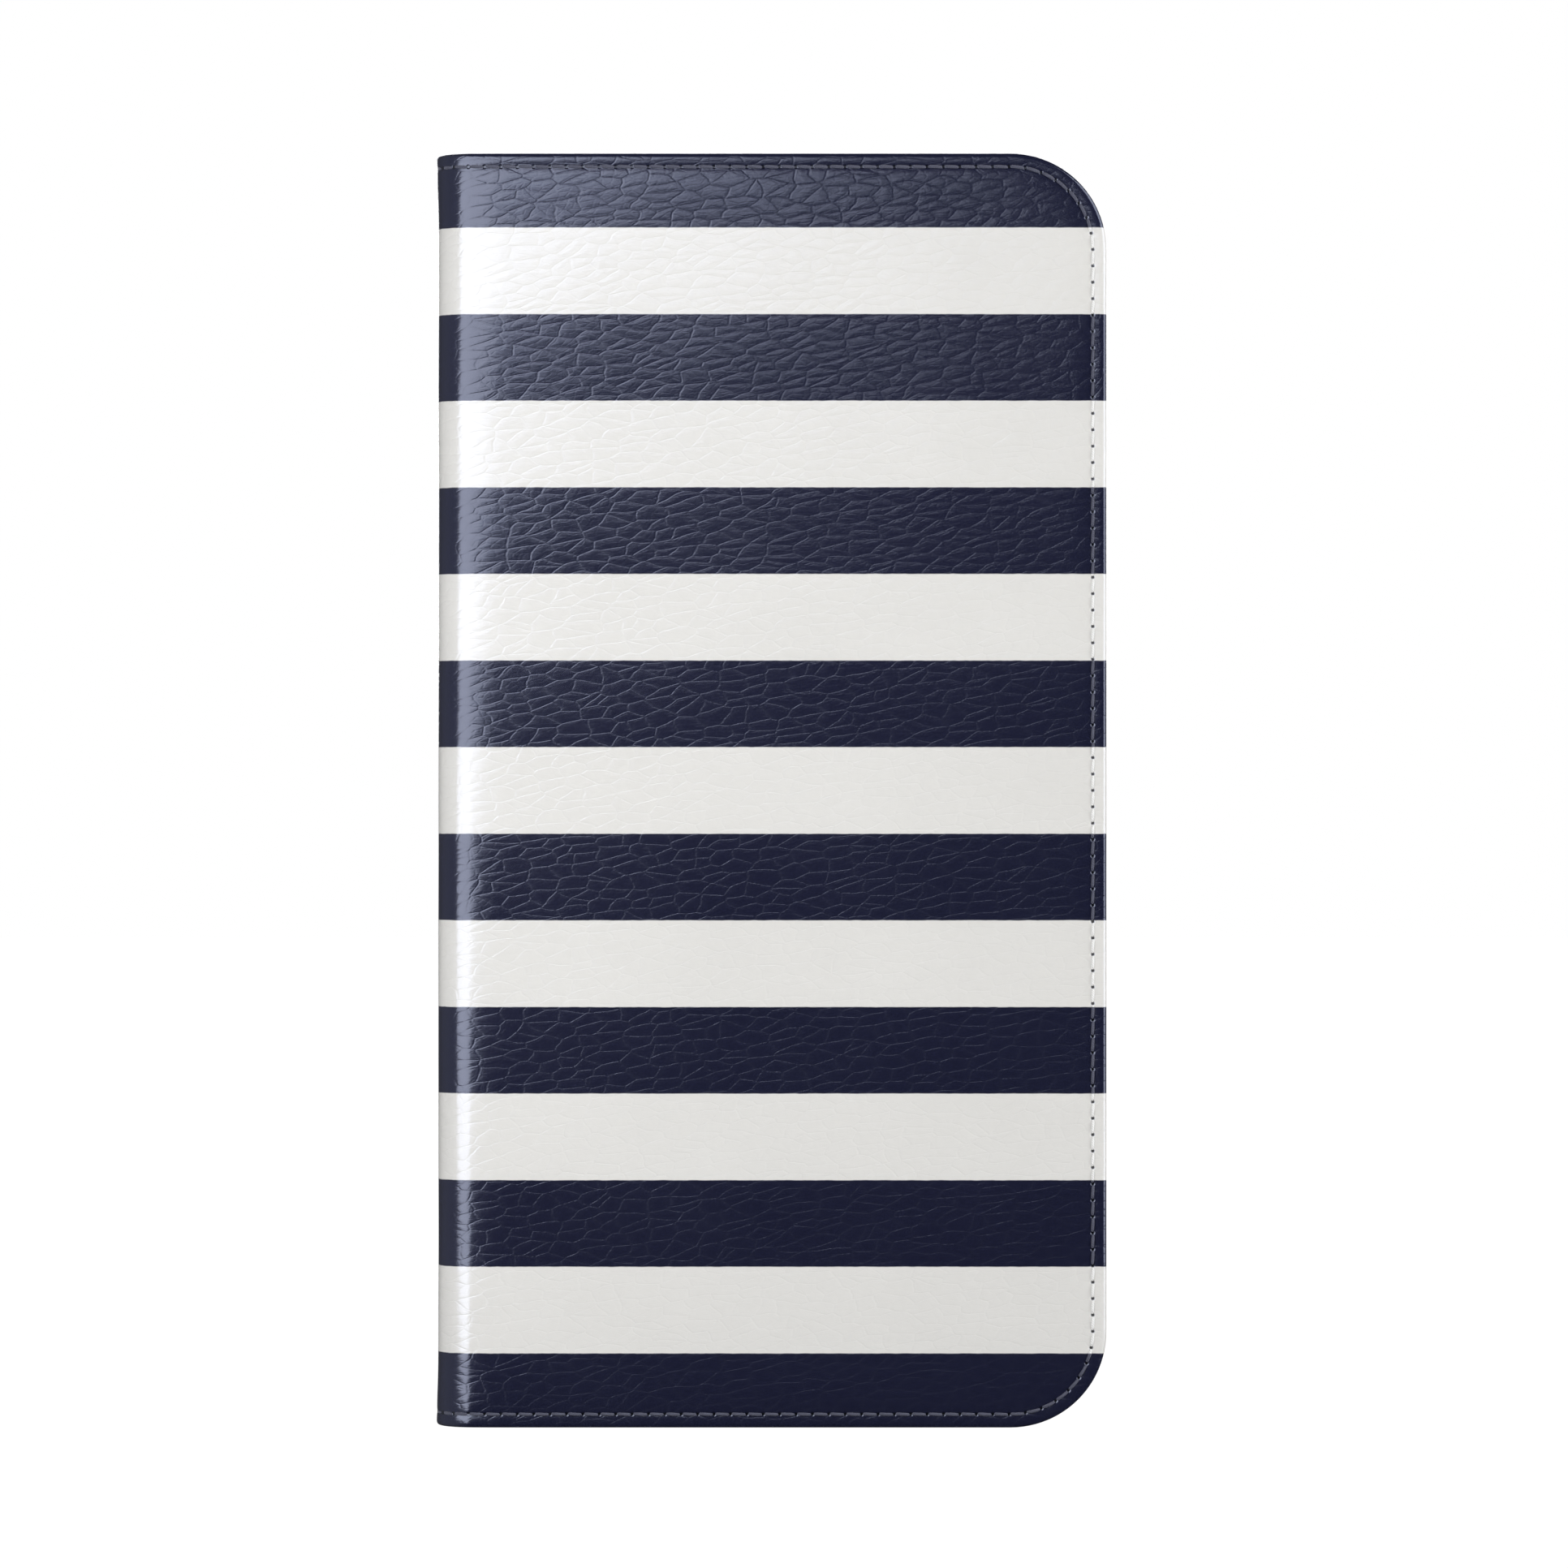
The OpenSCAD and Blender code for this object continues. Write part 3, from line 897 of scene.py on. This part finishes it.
def striped_leather():
    """Pebbled leather with printed bands and a row of needle holes, with painted shade in the holes."""
    s, c = sizes(), colours()
    m, t, p = material("striped_leather")
    cut = attribute(t, "cut")["Vector"]
    grain = group(t, "pebble_grain", {"Vector": cut})
    wear = group(t, "handling", {"Vector": cut, "Amount": 0.10})
    print_wander = node(t, "TexNoise", {"Vector": cut, "Scale": 700.0, "Detail": 2.0})
    wander = times(t, minus(t, print_wander.outputs["Fac"], 0.5), 0.12 * MM)
    ink = mix_colour(t, dark_bands(t, wander), c.white[:], c.navy[:])
    row = node(t, "SeparateXYZ", {"Vector": attribute(t, "row")["Vector"]}).outputs
    pitch = row_pitch()[0]
    beat = math_node(t, "DIVIDE", row["X"], pitch)
    off_hole = times(t, minus(t, beat, math_node(t, "ROUND", beat)), pitch)
    off_row = minus(t, row["Y"], s.stitch_inset)
    squares = plus(t, times(t, off_hole, off_hole), times(t, off_row, off_row))
    away = math_node(t, "SQRT", squares)
    # The needle holes are sunk by the bump and also darkened in the base colour: painted shade in the holes.
    rim_r, floor_r, hole_shade_strength, hole_depth = 0.34 * MM, 0.15 * MM, 0.92, 2.5
    hole = ramp(t, away, rim_r, floor_r)
    painted_hole_shade = minus(t, 1.0, times(t, hole, hole_shade_strength))
    t.links.new(shaded(t, ink, times(t, wear["Shade"], painted_hole_shade)), p["Base Color"])
    polish = times(t, grain["Tone"], 0.05)
    rough_from(t, p, 0.23, minus(t, wear["Rough"], polish))
    bump(t, p, minus(t, grain["Height"], times(t, hole, hole_depth)), 0.019 * MM)
    feed(t, p, {"IOR": 1.6, "Specular IOR Level": 0.9, "Specular Tint": (0.72, 0.78, 1, 1)})
    return m


def stitch_thread():
    """Twisted thread, pale over the light bands and grey-blue over the dark ones."""
    c = colours()
    m, t, p = material("stitch_thread")
    colour = mix_colour(t, dark_bands(t), c.white_thread[:], c.navy_thread[:])
    t.links.new(thread_twist(t, p, colour), p["Base Color"])
    return m


def thread_twist(t, p, colour):
    """Lays the strands' twist on a thread and gives back its colour, with painted shade in the twist's
    grooves over random fibre tone.
    """
    place = node(t, "SeparateXYZ", {"Vector": attribute(t, "thread")["Vector"]}).outputs
    slant = plus(t, times(t, place["X"], 42.0),
                      times(t, place["Y"], 38.0))
    strands = math_node(t, "SINE", slant)
    bump(t, p, strands, 0.03 * MM, 0.6)
    feed(t, p, {"Roughness": 0.6, "Sheen Weight": 0.25})
    fibre = node(t, "TexNoise", {"Vector": attribute(t, "thread")["Vector"], "Scale": 30.0, "Detail": 3.0})
    # The twist's wave darkens the colour in its grooves and lightens its crests: painted shade. The fibre
    # noise is random tone.
    level = plus(t, times(t, strands, 0.08),
                      plus(t, 0.75, times(t, fibre.outputs["Fac"], 0.4)))
    return shaded(t, colour, level)


def seam_thread():
    """The thread of the inner seams, all of one colour."""
    m, t, p = material("seam_thread")
    t.links.new(thread_twist(t, p, colours().navy_thread[:]), p["Base Color"])
    return m


def toned(t, p, colour, vector, amount):
    """A plain colour with the handling group's unevenness. Gives back the group's outputs."""
    wear = group(t, "handling", {"Vector": vector, "Amount": amount})
    t.links.new(shaded(t, colour, wear["Shade"]), p["Base Color"])
    return wear


def lining_cloth():
    """Microfibre: a short dense nap with soft brushed clouds."""
    m, t, p = material("lining_cloth")
    cut = attribute(t, "cut")["Vector"]
    wear = toned(t, p, colours().lining[:], cut, 0.7)
    nap = node(t, "TexNoise", {"Vector": cut, "Scale": 5200.0, "Detail": 4.0, "Roughness": 0.7})
    rough_from(t, p, 0.88, wear["Rough"])
    bump(t, p, nap.outputs["Fac"], 0.05 * MM, 0.5)
    feed(t, p, {"Sheen Weight": 0.35, "Sheen Roughness": 0.4})
    return m


def pocket_leather():
    """Fine grained leather of the card and cash pockets."""
    m, t, p = material("pocket_leather")
    place = object_place(t)
    flat = node(t, "Mapping", {"Vector": place, "Rotation": (math.pi / 2, 0, 0)}).outputs[0]
    grain = group(t, "pebble_grain", {"Vector": flat, "Cells": 900.0, "Stretch": 0.8})
    wear = toned(t, p, colours().pocket[:], place, 0.3)
    rough_from(t, p, 0.5, wear["Rough"])
    bump(t, p, grain["Height"], 0.035 * MM, 0.7)
    return m


def tray_plastic():
    """Matte soft plastic with a fine spark-eroded texture."""
    m, t, p = material("tray_plastic")
    place = object_place(t)
    wear = toned(t, p, colours().tray[:], place, 0.25)
    fine = node(t, "TexNoise", {"Vector": place, "Scale": 6500.0, "Detail": 2.0})
    rough_from(t, p, 0.52, wear["Rough"])
    bump(t, p, fine.outputs["Fac"], 0.02 * MM, 0.5)
    return m


def fibre_board():
    """Pressed board, flecked with fibres."""
    m, t, p = material("fibre_board")
    place = object_place(t)
    wear = toned(t, p, colours().board[:], place, 0.5)
    fleck = node(t, "TexNoise", {"Vector": place, "Scale": 1800.0, "Detail": 5.0, "Roughness": 0.8})
    rough_from(t, p, 0.85, wear["Rough"])
    bump(t, p, fleck.outputs["Fac"], 0.06 * MM, 0.6)
    return m


def foam():
    """Closed foam with fine cells."""
    m, t, p = material("foam")
    place = object_place(t)
    wear = toned(t, p, colours().foam[:], place, 0.2)
    cell = node(t, "TexVoronoi", {"Vector": place, "Scale": 2600.0})
    rough_from(t, p, 0.9, wear["Rough"])
    bump(t, p, cell.outputs["Distance"], 0.05 * MM, 0.7)
    return m


def plated_steel():
    """Nickel plating with faint handling marks."""
    m, t, p = material("plated_steel")
    wear = toned(t, p, colours().steel[:], object_place(t), 0.2)
    p["Metallic"].default_value = 1.0
    rough_from(t, p, 0.28, wear["Rough"])
    return m


def adhesive():
    """Double-sided adhesive sheet."""
    m, t, p = material("adhesive")
    wear = toned(t, p, colours().glue[:], object_place(t), 0.15)
    rough_from(t, p, 0.4, wear["Rough"])
    return m


MAKERS = {maker.__name__: maker for maker in (
    striped_leather, stitch_thread, seam_thread, lining_cloth, pocket_leather, tray_plastic, fibre_board,
    foam, plated_steel, adhesive)}


@functools.cache
def finish_of(name):
    """The material of that name, made the first time it is asked for."""
    for shared, make in (("pebble_grain", pebble_group), ("printed_bands", band_group),
                         ("handling", wear_group)):
        if shared not in bpy.data.node_groups:
            make()
    return MAKERS[name]()


def paint(piece, finish):
    """Gives a piece one material, by its maker's name or as it is."""
    piece.data.materials.clear()
    piece.data.materials.append(finish_of(finish) if isinstance(finish, str) else finish)


# ---- Operators ----


class CASE_OT_stage(bpy.types.Operator):
    """Floor, soft light, pale surroundings and camera"""

    bl_idname = "case.stage"
    bl_label = "Stage"

    def execute(self, context):
        scene = context.scene
        scene.view_settings.view_transform = "Standard"
        self.camera(scene)
        self.surroundings(scene)
        self.floor()
        self.lights()
        return {"FINISHED"}

    def camera(self, scene):
        deselect()
        distance, view_width = 0.95, 204.1 * MM
        right, up = 1.6 * MM, 0.84 * MM
        bpy.ops.object.camera_add(location=(right, FRONT - distance, MIDDLE + up),
                                  rotation=(math.pi / 2, 0, 0))
        camera = bpy.context.object
        camera.name = "camera"
        camera.data.lens = camera.data.sensor_width * distance / view_width
        camera.data.clip_start = 0.01
        scene.camera = camera

    def surroundings(self, scene):
        """Pale behind the object, dimmer at its sides and before it, and white to the camera."""
        world = bpy.data.worlds.new("studio")
        scene.world = world
        world.use_nodes = True
        t = world.node_tree
        back = t.nodes["Background"]
        direction = node(t, "SeparateXYZ", {"Vector": node(t, "TexCoord").outputs["Generated"]}).outputs
        everywhere, left_level, behind_level = 0.02, 0.26, 0.08
        behind = times(t, ramp(t, direction["Y"], 0.1, 1.0), behind_level)
        left = times(t, ramp(t, direction["X"], -0.15, -0.9), left_level)
        left = times(t, left, ramp(t, direction["Y"], 0.95, 0.1))
        level = plus(t, everywhere, plus(t, left, behind))
        seen = node(t, "LightPath").outputs["Is Camera Ray"]
        strength = math_node(t, "MAXIMUM", level, seen)
        back.inputs["Color"].default_value = (1, 1, 1, 1)
        t.links.new(strength, back.inputs["Strength"])

    def floor(self):
        deselect()
        bpy.ops.mesh.primitive_plane_add(size=6, location=(0, 0, 0))
        floor = named("floor")
        floor.visible_glossy = False
        m, t, p = material("floor")
        place = object_place(t)
        speck = node(t, "TexNoise", {"Vector": place, "Scale": 400.0, "Detail": 3.0})
        feed(t, p, {"Base Color": colours().floor, "Roughness": 0.8})
        bump(t, p, speck.outputs["Fac"], 0.05 * MM, 0.1)
        glow = node(t, "Emission", {"Color": (1, 1, 1, 1), "Strength": 1.06})
        seen = times(t, node(t, "LightPath").outputs["Is Camera Ray"], 0.96)
        both = node(t, "MixShader", {0: seen, 1: t.nodes["Principled BSDF"].outputs[0], 2: glow.outputs[0]})
        t.links.new(both.outputs[0], t.nodes["Material Output"].inputs["Surface"])
        paint(floor, m)

    def lights(self):
        # degrees to the left and up, distance, width, height, lean in degrees, power
        self.area("key", 32, 8, 0.375, 0.25, 0.39, -29, 1.08)
        self.area("gloss", 0, 12.4, 0.79, 0.05, 0.10, 0, 0.05)
        self.area("side_fill", -66, 18, 0.90, 1.0, 1.0, 0, 8.8)
        self.area("back_fill", 180, 24, 1.10, 0.9, 0.9, 0, 7.0)

    def area(self, name, left, up, distance, width, height, lean, power):
        """A soft box so many degrees to the left of and above the middle of the front face, facing it."""
        box = bpy.data.lights.new(name, "AREA")
        box.shape = "RECTANGLE"
        box.size, box.size_y, box.energy = width, height, power
        lamp = bpy.data.objects.new(name, box)
        bpy.context.scene.collection.objects.link(lamp)
        left, up = math.radians(left), math.radians(up)
        away = Vector((-math.sin(left) * math.cos(up), -math.cos(left) * math.cos(up), math.sin(up)))
        lamp.location = Vector((0, 0, MIDDLE)) + away * distance
        aim = (-away).to_track_quat("-Z", "Y") @ Quaternion((0, 0, 1), math.radians(lean))
        lamp.rotation_euler = aim.to_euler()


class CASE_OT_leather(bpy.types.Operator):
    """Outer leather of both covers, meeting on the middle of the spine"""

    bl_idname = "case.leather"
    bl_label = "Leather"

    def execute(self, context):
        edge = leather_edge()
        for name, side, nodes in (("front_leather", 1, ("front_skin", "spine_skin")),
                                  ("back_leather", -1, ("back_skin",))):
            piece = wrapped_sheet(name, edge, side, sizes().leather_t, 1, wave=0.05 * MM)
            fit_sheet(piece, side, "striped_leather", nodes)
            flat_size(edge)
        return {"FINISHED"}


class CASE_OT_linings(bpy.types.Operator):
    """Linings of both covers and of the spine"""

    bl_idname = "case.linings"
    bl_label = "Linings"

    def execute(self, context):
        edge = plain_edge(sizes().rim_reach + 0.02 * MM, BOARD_IN + 0.1 * MM, COVER, 0.3 * MM)
        thickness = COVER - BOARD_IN - 0.03 * MM
        # the tray's corner is close to the back fold
        clear_of_tray = 0.1 * MM, 3.2 * MM
        for name, side, reaches, nodes in (
                ("front_lining_cloth", 1, (FOLD_REACH, FOLD_REACH), ("front_lining", "spine_lining")),
                ("back_lining_cloth", -1, clear_of_tray, ("back_lining",))):
            piece = wrapped_sheet(name, edge, side, thickness, -1, fold_count=24, face_step=4 * MM)
            fit_sheet(piece, side, "lining_cloth", nodes, reaches=reaches)
            flat_size(edge)
        return {"FINISHED"}


class CASE_OT_padding(bpy.types.Operator):
    """Foam between the leather and the boards"""

    bl_idname = "case.padding"
    bl_label = "Padding"

    def execute(self, context):
        s = sizes()
        edge = plain_edge(s.rim_reach, BOARD_OUT - 0.05 * MM, s.leather_t + 0.08 * MM, 0.2 * MM)
        thickness = BOARD_OUT - s.leather_t - 0.13 * MM
        for name, side, nodes in (("front_foam", 1, ("front_padding", "spine_padding")),
                                  ("back_foam", -1, ("back_padding",))):
            piece = wrapped_sheet(name, edge, side, thickness, 1, fold_count=16, face_step=6 * MM)
            fit_sheet(piece, side, "foam", nodes, grow=0.5 * MM)
        return {"FINISHED"}


class CASE_OT_stitches(bpy.types.Operator):
    """Rows of stitches round both covers, outside and inside"""

    bl_idname = "case.stitches"
    bl_label = "Stitches"

    def execute(self, context):
        s = sizes()
        for cover, side, nodes in (("front", 1, ("front_thread", "spine_thread")),
                                   ("back", -1, ("back_thread",))):
            outer = edge_row(cover + "_stitches", side, stitch_valley(s.stitch_inset), 1, s.thread_w)
            paint(outer, "stitch_thread")
            inner = edge_row(cover + "_bobbin_stitches", side, COVER, -1, INNER_THREAD)
            paint(inner, "seam_thread")
            for piece in (outer, inner):
                hinge(piece, side)
            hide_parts(*nodes)
        return {"FINISHED"}


class CASE_OT_pockets(bpy.types.Operator):
    """Cash pocket, card slots and the seams that hold them"""

    bl_idname = "case.pockets"
    bl_label = "Pockets"

    def execute(self, context):
        nodes = ("cash_pocket", "card_slot_low", "card_slot_middle", "card_slot_top")
        for n in nodes:
            paint(pocket_panel(n + "_panel", n), "pocket_leather")
        self.seams([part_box(n) for n in nodes])
        return {"FINISHED"}

    def seams(self, boxes):
        """Rows step up from panel to panel, then run down the free edge."""
        margin, half_card, end_gap, edge_gap = 1.2 * MM, 45 * MM, 0.4 * MM, 1 * MM
        low_z, high_z = boxes[0][0].z + margin, boxes[0][1].z - margin
        r = sizes().corner_r - (RIGHT - boxes[0][1].x) - margin
        right = boxes[0][1].x - margin
        seam_z = (low_z, MIDDLE - half_card, MIDDLE + half_card, high_z)
        rows = []
        for level, box in enumerate(boxes):
            face = box[1].y
            start = box[0].x + margin
            for z in seam_z:
                last = right - r if z in (low_z, high_z) else right - edge_gap
                end = boxes[level + 1][0].x - end_gap if level < 3 else last
                rows.append((Vector((start, face, z)), Vector((end, face, z))))
        top = boxes[-1][1].y
        steps = 5
        turns = [math.pi / 2 * i / steps for i in range(steps + 1)]
        for z, sign in ((low_z, -1), (high_z, 1)):
            bend = [Vector((right - r + r * math.sin(a), top, z - sign * r * (1 - math.cos(a))))
                    for a in turns]
            rows += zip(bend, bend[1:])
        rows.append((Vector((right, top, low_z + r)), Vector((right, top, high_z - r))))
        piece = seam_rows("pocket_stitches", rows)
        paint(piece, "seam_thread")
        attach(piece, "front_cover")
        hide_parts("pocket_thread")


class CASE_OT_tray(bpy.types.Operator):
    """Soft tray that holds the phone"""

    bl_idname = "case.tray"
    bl_label = "Phone tray"

    def execute(self, context):
        tray = build_tray()
        paint(tray, "tray_plastic")
        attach(tray, "back_cover")
        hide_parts("tray_plate", "tray_rim")
        return {"FINISHED"}


class CASE_OT_hidden_parts(bpy.types.Operator):
    """Finishes of the boards, magnets and adhesive, which keep their own shapes"""

    bl_idname = "case.hidden_parts"
    bl_label = "Boards and magnets"

    def execute(self, context):
        for finish, nodes in (("fibre_board", ("front_board", "spine_board", "back_board")),
                              ("plated_steel", ("front_magnets", "back_magnets")),
                              ("adhesive", ("adhesive_pad",))):
            for n in nodes:
                paint(frame["nodes"][n], finish)
        return {"FINISHED"}


class CASE_PT_panel(bpy.types.Panel):
    """The case's sizes, colours and pieces"""

    bl_idname = "CASE_PT_panel"
    bl_label = "Wallet Case"
    bl_space_type = "VIEW_3D"
    bl_region_type = "UI"
    bl_category = "Wallet Case"

    def draw(self, context):
        for settings in (context.scene.wallet_sizes, context.scene.wallet_colours):
            for key in settings.bl_rna.properties.keys():
                if key not in ("rna_type", "name"):
                    self.layout.prop(settings, key)
        for operator in OPERATORS:
            self.layout.operator(operator.bl_idname)


OPERATORS = (CASE_OT_stage, CASE_OT_leather, CASE_OT_linings, CASE_OT_padding, CASE_OT_stitches,
             CASE_OT_pockets, CASE_OT_tray, CASE_OT_hidden_parts)
CLASSES = (WalletSizes, WalletColours, *OPERATORS, CASE_PT_panel)


def register():
    for c in CLASSES:
        bpy.utils.register_class(c)
    bpy.types.Scene.wallet_sizes = bpy.props.PointerProperty(type=WalletSizes)
    bpy.types.Scene.wallet_colours = bpy.props.PointerProperty(type=WalletColours)


def unregister():
    del bpy.types.Scene.wallet_colours
    del bpy.types.Scene.wallet_sizes
    for c in reversed(CLASSES):
        bpy.utils.unregister_class(c)


def main():
    register()
    bpy.ops.case.stage()
    bpy.ops.case.leather()
    bpy.ops.case.linings()
    bpy.ops.case.padding()
    bpy.ops.case.stitches()
    bpy.ops.case.pockets()
    bpy.ops.case.tray()
    bpy.ops.case.hidden_parts()


if __name__ == "__main__":
    main()
